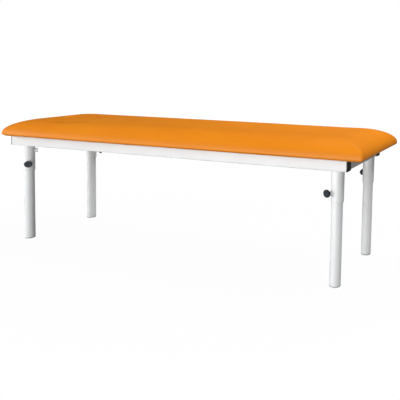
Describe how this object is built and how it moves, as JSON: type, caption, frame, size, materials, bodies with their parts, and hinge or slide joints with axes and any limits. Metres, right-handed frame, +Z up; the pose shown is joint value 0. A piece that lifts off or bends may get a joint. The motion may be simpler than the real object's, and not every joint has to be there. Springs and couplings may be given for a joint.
{
  "type": "massage table",
  "caption": "Long padded table with a removable face plug, on a white tube frame whose oval legs slide in sleeves and are clamped by hand knobs.",
  "frame": {"origin": "on the floor, under the middle of the pad, with the legs pushed fully in", "axes": "+X along the pad from its head end, +Y across the pad to its rear side, +Z up"},
  "size_m": [1.9, 0.7, 0.631],
  "materials": {
    "frame_paint": "white powder coat",
    "cap_plastic": "black, fine grain",
    "bush_plastic": "off-white, smooth",
    "foot_plastic": "light grey, smooth",
    "knob_plastic": "dark slate, satin",
    "steel": "zinc plated",
    "plywood": "birch plywood, lacquered",
    "foam": "open-cell foam",
    "vinyl": "orange upholstery vinyl"
  },
  "bodies": {
    "frame": {"centre_cross_rail": "frame_paint", "front_left_guide_bush": "bush_plastic", "front_left_leg_sleeve": "frame_paint", "front_left_rail_cap": "cap_plastic", "front_left_stop_screw": "steel", "front_rail": "frame_paint", "front_right_guide_bush": "bush_plastic", "front_right_leg_sleeve": "frame_paint", "front_right_rail_cap": "cap_plastic", "front_right_stop_screw": "steel", "left_cross_rail": "frame_paint", "pad_board": "plywood", "pad_bolts": "steel", "pad_cover": "vinyl", "pad_foam": "foam", "pad_tee_nuts": "steel", "rear_left_guide_bush": "bush_plastic", "rear_left_leg_sleeve": "frame_paint", "rear_left_rail_cap": "cap_plastic", "rear_left_stop_screw": "steel", "rear_rail": "frame_paint", "rear_right_guide_bush": "bush_plastic", "rear_right_leg_sleeve": "frame_paint", "rear_right_rail_cap": "cap_plastic", "rear_right_stop_screw": "steel", "right_cross_rail": "frame_paint"},
    "front_left_leg": {"front_left_leg_tube": "frame_paint", "front_left_leg_glide": "bush_plastic", "front_left_foot_cap": "foot_plastic"},
    "front_left_knob": {"front_left_clamp_knob": "knob_plastic", "front_left_clamp_stud": "steel"},
    "front_right_leg": {"front_right_leg_tube": "frame_paint", "front_right_leg_glide": "bush_plastic", "front_right_foot_cap": "foot_plastic"},
    "front_right_knob": {"front_right_clamp_knob": "knob_plastic", "front_right_clamp_stud": "steel"},
    "rear_left_leg": {"rear_left_leg_tube": "frame_paint", "rear_left_leg_glide": "bush_plastic", "rear_left_foot_cap": "foot_plastic"},
    "rear_left_knob": {"rear_left_clamp_knob": "knob_plastic", "rear_left_clamp_stud": "steel"},
    "rear_right_leg": {"rear_right_leg_tube": "frame_paint", "rear_right_leg_glide": "bush_plastic", "rear_right_foot_cap": "foot_plastic"},
    "rear_right_knob": {"rear_right_clamp_knob": "knob_plastic", "rear_right_clamp_stud": "steel"},
    "face_plug": {"face_plug_base": "plywood", "face_plug_cushion": "vinyl"}
  },
  "joints": [
    {"name": "front_left_leg_slide", "type": "slide", "parent": "frame", "child": "front_left_leg", "axis": [0, 0, -1], "range_m": [0, 0.045]},
    {"name": "front_left_knob_turn", "type": "hinge", "parent": "frame", "child": "front_left_knob", "pos_m": [-0.81429, -0.30149, 0.4], "axis": [0.7071, -0.7071, 0], "range_deg": [0, 540]},
    {"name": "front_right_leg_slide", "type": "slide", "parent": "frame", "child": "front_right_leg", "axis": [0, 0, -1], "range_m": [0, 0.045]},
    {"name": "front_right_knob_turn", "type": "hinge", "parent": "frame", "child": "front_right_knob", "pos_m": [0.81429, -0.30149, 0.4], "axis": [-0.7071, -0.7071, 0], "range_deg": [0, 540]},
    {"name": "rear_left_leg_slide", "type": "slide", "parent": "frame", "child": "rear_left_leg", "axis": [0, 0, -1], "range_m": [0, 0.045]},
    {"name": "rear_left_knob_turn", "type": "hinge", "parent": "frame", "child": "rear_left_knob", "pos_m": [-0.81429, 0.30149, 0.4], "axis": [0.7071, 0.7071, 0], "range_deg": [0, 540]},
    {"name": "rear_right_leg_slide", "type": "slide", "parent": "frame", "child": "rear_right_leg", "axis": [0, 0, -1], "range_m": [0, 0.045]},
    {"name": "rear_right_knob_turn", "type": "hinge", "parent": "frame", "child": "rear_right_knob", "pos_m": [0.81429, 0.30149, 0.4], "axis": [-0.7071, 0.7071, 0], "range_deg": [0, 540]},
    {"name": "face_plug_lift", "type": "slide", "parent": "frame", "child": "face_plug", "axis": [0, 0, 1], "range_m": [0, 0.15]}
  ]
}
